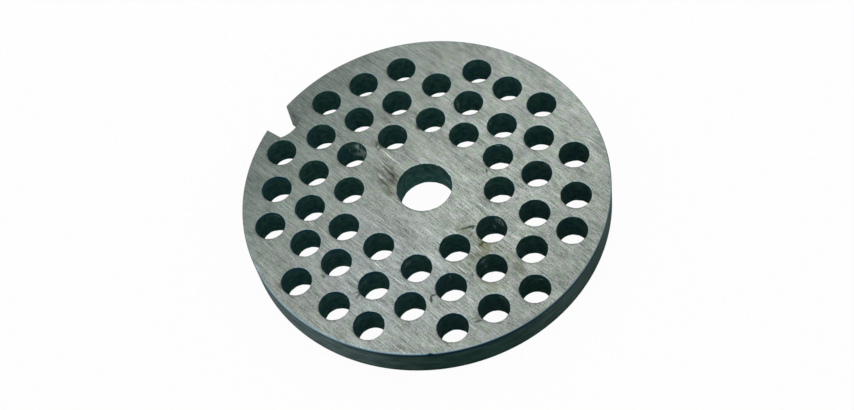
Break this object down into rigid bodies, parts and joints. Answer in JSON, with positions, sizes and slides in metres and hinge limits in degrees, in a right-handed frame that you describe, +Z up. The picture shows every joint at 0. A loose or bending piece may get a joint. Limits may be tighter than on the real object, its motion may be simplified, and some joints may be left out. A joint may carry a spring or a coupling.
{
  "type": "meat grinder plate",
  "caption": "Round steel mincing disc for a small table meat grinder, ground flat on both faces, with a spindle bore, a key notch in the rim and many round through holes.",
  "frame": {"origin": "centre of the spindle bore on the bottom face", "axes": "+Z up along the bore, out of the upper ground face; -X towards the key notch in the rim"},
  "size_m": [0.0539, 0.054, 0.005],
  "materials": {
    "ground_steel": "surface-ground faces with fine diagonal grinding lines, light stains and scratches, dark drilled holes and rim"
  },
  "bodies": {
    "root": {"grinder_plate": "ground_steel"}
  },
  "joints": []
}
